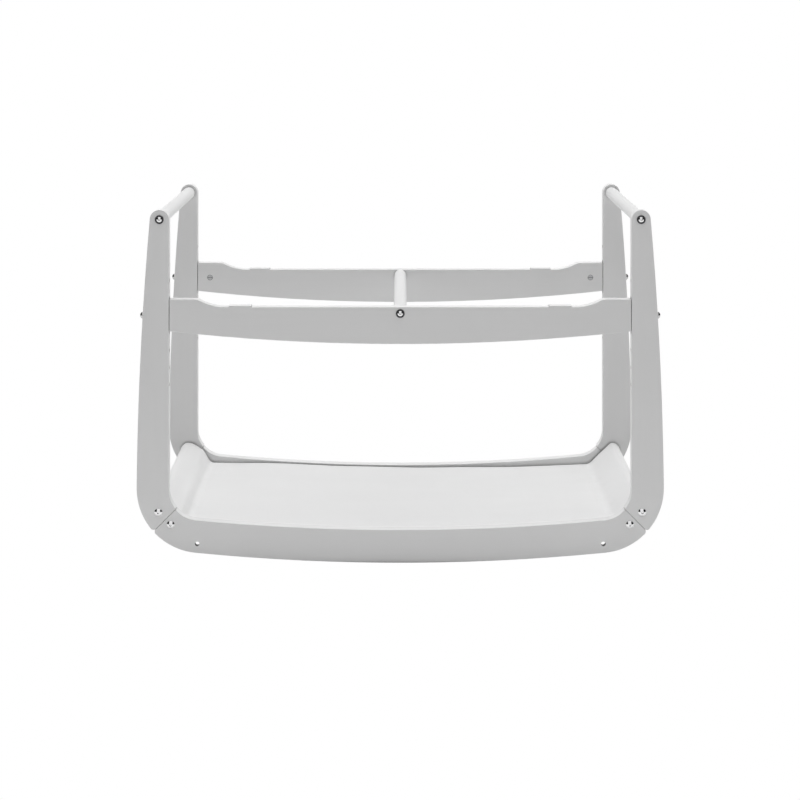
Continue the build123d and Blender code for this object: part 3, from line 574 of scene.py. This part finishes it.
def on_sheet(s, y, under=False):
    """Point and outward normal on the cloth at length s and width y."""
    j = int(np.clip(np.searchsorted(ys, y) - 1, 0, R - 2))
    fy = (y - ys[j]) / (ys[j + 1] - ys[j])
    i = int(np.clip(np.searchsorted(length, s) - 1, 0, C - 2))
    fx = (s - length[i]) / (length[i + 1] - length[i])
    def mixed(field):
        lo_ = field[j, i] * (1 - fx) + field[j, i + 1] * fx
        hi_ = field[j + 1, i] * (1 - fx) + field[j + 1, i + 1] * fx
        return lo_ * (1 - fy) + hi_ * fy
    nn = mixed(nrm)
    nn = nn / np.linalg.norm(nn)
    t = float(sheet_thickness(np.array(y)))
    return (mixed(grid) + (-nn if under else nn) * t, -nn if under else nn)


sv, sf = [], []
seam_at = [length[4] + 0.0005, length[-5] - 0.0005]
loop_from, loop_to = length[24], length[-25]
# both hems, on the side that shows
for y in (-(HALF_W - HEM + 0.0022), HALF_W - HEM + 0.0022):
    s = loop_from
    while s < loop_to:
        (p, na), (q, nb) = on_sheet(s, y), on_sheet(s + 0.0026, y)
        stitch(p, q, (na + nb) / 2, 0.00023, sv, sf)
        s += 0.0034
# two rows across each end, just inside the sleeve
panel_start, panel_end = length[seam_l - 1], length[seam_r]
for base in (panel_start + 0.0015, panel_start + 0.0065, panel_end - 0.0015, panel_end - 0.0065):
    y = -HALF_W + 0.002
    while y < HALF_W - 0.004:
        (p, na), (q, nb) = on_sheet(base, y), on_sheet(base, y + 0.0026)
        stitch(p, q, (na + nb) / 2, 0.00023, sv, sf)
        y += 0.0034
stitches = make_mesh("shelf_stitching", sv, sf, sewing)
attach(stitches, "stand")

# ------------------------------------------------------------------ stage
FLOOR_GLOW = 0.19
floor_mat = Tree("studio_floor")
lp = floor_mat.node("ShaderNodeLightPath")
bright = floor_mat.node("ShaderNodeEmission", Strength=1.0)
shaded = floor_mat.node("ShaderNodeBsdfDiffuse")
shaded.inputs["Color"].default_value = (1.3, 1.3, 1.3, 1)
dif = floor_mat.node("ShaderNodeBsdfDiffuse")
dif.inputs["Color"].default_value = (0.88, 0.88, 0.88, 1)
glow_f = floor_mat.node("ShaderNodeEmission", Strength=FLOOR_GLOW)
sep_f = floor_mat.node("ShaderNodeSeparateXYZ")
tc_f = floor_mat.node("ShaderNodeTexCoord")
floor_mat.link(tc_f.outputs["Object"], sep_f.inputs[0])
fx_, fy_ = sep_f.outputs[0], sep_f.outputs[1]
# the soft shadow lies under the stand and behind its front rocker; the rest of the floor is lit to white
rise = floor_mat.math("MULTIPLY", floor_mat.math("MULTIPLY", fx_, fx_), 0.40)
depth_in = floor_mat.math("MULTIPLY", floor_mat.math("SUBTRACT", floor_mat.math("ADD", fy_, 0.235), rise), 1 / 0.05, clamp=True)
across = floor_mat.math("MULTIPLY", floor_mat.math("SUBTRACT", 0.385, floor_mat.math("ABSOLUTE", fx_)), 1 / 0.05, clamp=True)
behind = floor_mat.math("MULTIPLY", floor_mat.math("SUBTRACT", 0.42, fy_), 1 / 0.1, clamp=True)
under = floor_mat.math("MULTIPLY", floor_mat.math("MULTIPLY", depth_in, across), behind)
grain_f = floor_mat.noise(floor_mat.coords(), 40, 2, 0.5)
floor_mat.link(floor_mat.bump(grain_f, 0.02, 0.001), dif.inputs["Normal"])
m1 = floor_mat.node("ShaderNodeMixShader")
floor_mat.link(under, m1.inputs[0])
floor_mat.link(bright.outputs[0], m1.inputs[1])
floor_mat.link(shaded.outputs[0], m1.inputs[2])
# a patch of floor in front of the stand works as the bounce card
card = floor_mat.math("MULTIPLY", floor_mat.math("SUBTRACT", -0.26, fy_), 1 / 0.06, clamp=True)
card = floor_mat.math("MULTIPLY", card, floor_mat.math("MULTIPLY", floor_mat.math("ADD", fy_, 1.1), 1 / 0.4, clamp=True))
m0 = floor_mat.node("ShaderNodeAddShader")
g0 = floor_mat.node("ShaderNodeMixShader")
floor_mat.link(card, g0.inputs[0])
floor_mat.link(glow_f.outputs[0], g0.inputs[2])
floor_mat.link(dif.outputs[0], m0.inputs[0])
floor_mat.link(g0.outputs[0], m0.inputs[1])
mixer = floor_mat.node("ShaderNodeMixShader")
floor_mat.link(lp.outputs["Is Camera Ray"], mixer.inputs[0])
floor_mat.link(m0.outputs[0], mixer.inputs[1])
floor_mat.link(m1.outputs[0], mixer.inputs[2])
floor_mat.link(mixer.outputs[0], floor_mat.out.inputs[0])
bpy.ops.mesh.primitive_plane_add(size=30, location=(0, 0, -0.0002))
floor = bpy.context.object
floor.name = "floor"
floor.data.materials.append(floor_mat.mat)

# world: white to the camera, a soft studio dome to everything else; the dome is brighter above and behind
DOME = {"base": 0.0, "up": 2.78, "back": 0.42, "side": 1.10, "front": 0.0}
world = bpy.data.worlds.new("studio")
bpy.context.scene.world = world
world.use_nodes = True
wt = world.node_tree
wt.nodes.clear()


def wnode(kind, **values):
    n = wt.nodes.new(kind)
    for key, value in values.items():
        setattr(n, key, value)
    return n


def wmath(op, a, b=0.0):
    n = wnode("ShaderNodeMath", operation=op)
    for i, v in enumerate((a, b)):
        if isinstance(v, (int, float)):
            n.inputs[i].default_value = v
        else:
            wt.links.new(v, n.inputs[i])
    return n.outputs[0]


w_tc = wnode("ShaderNodeTexCoord")
w_sep = wnode("ShaderNodeSeparateXYZ")
wt.links.new(w_tc.outputs["Generated"], w_sep.inputs[0])
dx, dy, dz = w_sep.outputs
terms = [
    wmath("MULTIPLY", wmath("POWER", wmath("MAXIMUM", dz, 0.0), 6.0), DOME["up"]),
    wmath("MULTIPLY", wmath("MAXIMUM", dy, 0.0), DOME["back"]),
    wmath("MULTIPLY", wmath("POWER", wmath("ABSOLUTE", dx), 4.0), DOME["side"]),
    wmath("MULTIPLY", wmath("MAXIMUM", wmath("MULTIPLY", dy, -1.0), 0.0), DOME["front"]),
]
glow = wmath("ADD", terms[0], DOME["base"])
for term in terms[1:]:
    glow = wmath("ADD", glow, term)
w_lp = wnode("ShaderNodeLightPath")
w_see = wnode("ShaderNodeBackground")
w_see.inputs[0].default_value = (1, 1, 1, 1)
w_lit = wnode("ShaderNodeBackground")
w_lit.inputs[0].default_value = (1, 1, 1, 1)
wt.links.new(glow, w_lit.inputs[1])
# what polished metal sees: a white studio, brightest behind the stand, with a dark flag on each side of the camera


def flag(cx, cy, cz, cos_in, cos_out):
    """1 inside a round patch of sky about a direction, 0 outside."""
    size = math.sqrt(cx * cx + cy * cy + cz * cz)
    dot = wmath("ADD", wmath("MULTIPLY", dx, cx / size), wmath("ADD", wmath("MULTIPLY", dy, cy / size), wmath("MULTIPLY", dz, cz / size)))
    n_ = wnode("ShaderNodeMapRange", interpolation_type="SMOOTHSTEP")
    for socket, value in (("From Min", cos_out), ("From Max", cos_in), ("To Min", 0.0), ("To Max", 1.0)):
        n_.inputs[socket].default_value = value
    wt.links.new(dot, n_.inputs["Value"])
    return n_.outputs[0]


dark = wmath("MAXIMUM", flag(-0.90, -0.30, 0.36, 0.885, 0.850), flag(0.90, -0.30, 0.36, 0.885, 0.850))
sweep = wmath("MULTIPLY", wmath("POWER", wmath("MAXIMUM", dy, 0.0), 3.0), 0.9)
shine = wmath("MULTIPLY", wmath("SUBTRACT", 1.0, wmath("MULTIPLY", dark, 0.985)), wmath("ADD", sweep, 0.92))
w_shiny = wnode("ShaderNodeBackground")
w_shiny.inputs[0].default_value = (1, 1, 1, 1)
wt.links.new(shine, w_shiny.inputs[1])
w_pick = wnode("ShaderNodeMixShader")
wt.links.new(w_lp.outputs["Is Glossy Ray"], w_pick.inputs[0])
wt.links.new(w_lit.outputs[0], w_pick.inputs[1])
wt.links.new(w_shiny.outputs[0], w_pick.inputs[2])
w_mix = wnode("ShaderNodeMixShader")
w_out = wnode("ShaderNodeOutputWorld")
wt.links.new(w_lp.outputs["Is Camera Ray"], w_mix.inputs[0])
wt.links.new(w_pick.outputs[0], w_mix.inputs[1])
wt.links.new(w_see.outputs[0], w_mix.inputs[2])
wt.links.new(w_mix.outputs[0], w_out.inputs[0])

# ------------------------------------------------------------------ camera: level, with a rising-front lens shift
CAM = (0.0, -3.573, 1.061)
SHIFT = -0.496
cam_data = bpy.data.cameras.new("camera")
cam = bpy.data.objects.new("camera", cam_data)
bpy.context.scene.collection.objects.link(cam)
cam.location = CAM
cam.rotation_euler = (math.radians(90), 0, 0)
cam_data.sensor_width = 36
cam_data.lens = 79.0
cam_data.shift_x = -0.0003
cam_data.clip_end = 60
bpy.context.scene.camera = cam
# the shift belongs to the main view only: elsewhere the camera looks straight at the stand
drive = cam_data.driver_add("shift_y").driver
drive.type = "SCRIPTED"
for letter, index in (("y", 1), ("z", 2)):
    var = drive.variables.new()
    var.name = letter
    var.type = "SINGLE_PROP"
    var.targets[0].id = cam
    var.targets[0].data_path = f"location[{index}]"
drive.expression = f"{SHIFT} if abs(y - {CAM[1]}) < 0.001 and abs(z - {CAM[2]}) < 0.001 else 0"

bpy.context.scene.view_settings.view_transform = "Standard"
bpy.context.scene.view_settings.look = "None"
bpy.context.scene.render.film_transparent = False
